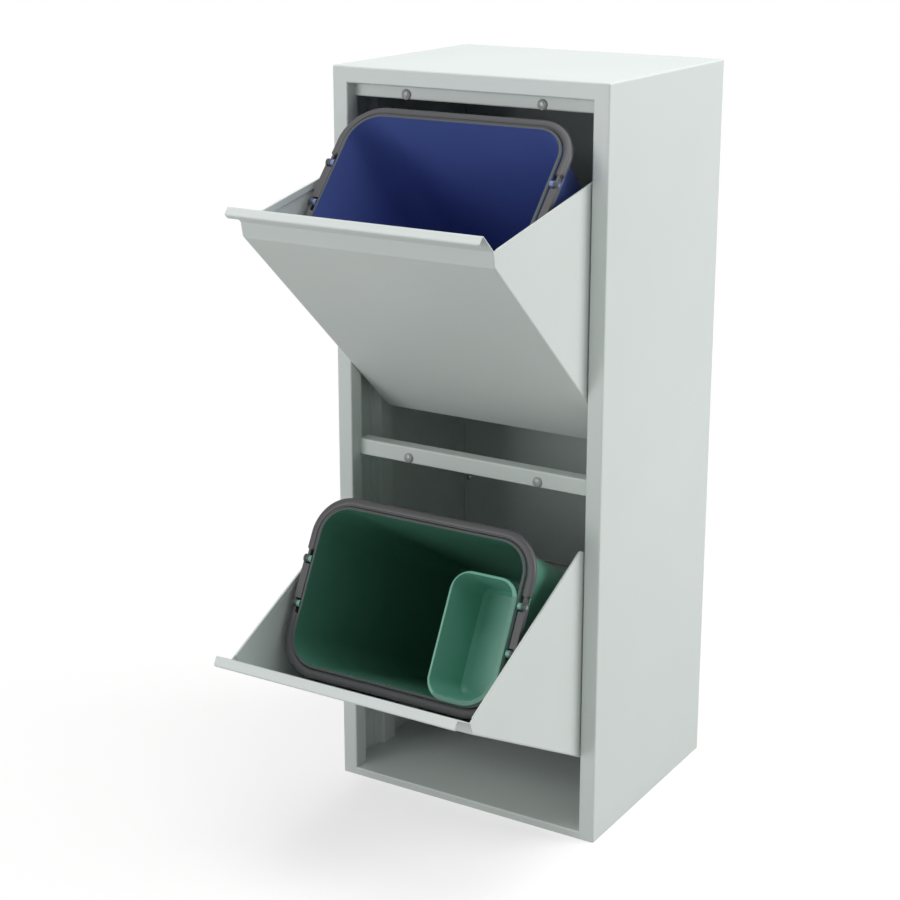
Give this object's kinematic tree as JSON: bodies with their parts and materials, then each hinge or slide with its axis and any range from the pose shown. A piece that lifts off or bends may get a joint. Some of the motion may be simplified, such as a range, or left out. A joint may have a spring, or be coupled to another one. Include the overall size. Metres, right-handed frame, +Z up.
{
  "type": "double recycling bin",
  "caption": "Tall narrow sheet steel cabinet with tilting waste chutes one above the other, each carrying a lift-out plastic pail with swinging bails for sorted rubbish.",
  "frame": {"origin": "middle of the cabinet's footprint on the floor", "axes": "+Z up, -Y towards the front, +X to the right seen from the front; chutes stand open as in the picture"},
  "size_m": [0.32, 0.5176, 0.8],
  "materials": {
    "cabinet_coat": "light grey powder coat, satin",
    "chute_coat": "light grey powder coat, satin",
    "zinc_steel": "zinc plated",
    "white_washer": "natural nylon",
    "bumper_rubber": "pale, slightly translucent",
    "blue_plastic": "moulded, satin",
    "green_plastic": "moulded, satin",
    "tray_plastic": "moulded, satin",
    "bail_plastic": "moulded, dull"
  },
  "bodies": {
    "cabinet": {"cabinet_shell": "cabinet_coat", "floor_pan": "cabinet_coat", "back_panel": "cabinet_coat", "back_panel_rivets": "zinc_steel", "side_channel_left": "cabinet_coat", "side_channel_right": "cabinet_coat", "top_rail": "cabinet_coat", "mid_rail": "cabinet_coat", "bumper_top_left": "bumper_rubber", "bumper_top_right": "bumper_rubber", "bumper_mid_left": "bumper_rubber", "bumper_mid_right": "bumper_rubber"},
    "upper_chute": {"upper_chute": "chute_coat", "upper_chute_shelf": "chute_coat", "upper_hinge_pin_left": "zinc_steel", "upper_hinge_pin_right": "zinc_steel", "upper_pivot_washers": "white_washer", "upper_pin_clips": "zinc_steel", "upper_stop_studs": "zinc_steel"},
    "blue_pail": {"blue_pail": "blue_plastic", "blue_hinge_link_left": "bail_plastic", "blue_hinge_link_right": "bail_plastic"},
    "blue_rear_bail": {"blue_rear_bail": "bail_plastic"},
    "blue_front_bail": {"blue_front_bail": "bail_plastic"},
    "lower_chute": {"lower_chute": "chute_coat", "lower_chute_shelf": "chute_coat", "lower_hinge_pin_left": "zinc_steel", "lower_hinge_pin_right": "zinc_steel", "lower_pivot_washers": "white_washer", "lower_pin_clips": "zinc_steel", "lower_stop_studs": "zinc_steel"},
    "green_pail": {"green_pail": "green_plastic", "green_hinge_link_left": "bail_plastic", "green_hinge_link_right": "bail_plastic"},
    "green_rear_bail": {"green_rear_bail": "bail_plastic"},
    "green_front_bail": {"green_front_bail": "bail_plastic"},
    "green_pail_tray": {"green_pail_tray": "tray_plastic"}
  },
  "joints": [
    {"name": "upper_chute_tilt", "type": "hinge", "parent": "cabinet", "child": "upper_chute", "pos_m": [0, -0.123, 0.488], "axis": [1, 0, 0], "range_deg": [-47.5, 14.5]},
    {"name": "lower_chute_tilt", "type": "hinge", "parent": "cabinet", "child": "lower_chute", "pos_m": [0, -0.123, 0.1], "axis": [1, 0, 0], "range_deg": [-62, 0]},
    {"name": "blue_pail_lift", "type": "slide", "parent": "upper_chute", "child": "blue_pail", "axis": [0, -0.7373, 0.6756], "range_m": [0, 0.385]},
    {"name": "blue_rear_bail_swing", "type": "hinge", "parent": "blue_pail", "child": "blue_rear_bail", "pos_m": [0, -0.18184, 0.70739], "axis": [1, 0, 0], "range_deg": [0, 106]},
    {"name": "blue_front_bail_swing", "type": "hinge", "parent": "blue_pail", "child": "blue_front_bail", "pos_m": [0, -0.21427, 0.672], "axis": [-1, 0, 0], "range_deg": [0, 106]},
    {"name": "green_pail_lift", "type": "slide", "parent": "lower_chute", "child": "green_pail", "axis": [0, -0.8829, 0.4695], "range_m": [0, 0.385]},
    {"name": "green_rear_bail_swing", "type": "hinge", "parent": "green_pail", "child": "green_rear_bail", "pos_m": [0, -0.2349, 0.29767], "axis": [1, 0, 0], "range_deg": [0, 106]},
    {"name": "green_front_bail_swing", "type": "hinge", "parent": "green_pail", "child": "green_front_bail", "pos_m": [0, -0.25743, 0.25529], "axis": [-1, 0, 0], "range_deg": [0, 106]},
    {"name": "green_pail_tray_lift", "type": "slide", "parent": "green_pail", "child": "green_pail_tray", "axis": [0, 0.8829, -0.4695], "range_m": [-0.072, 0]}
  ]
}
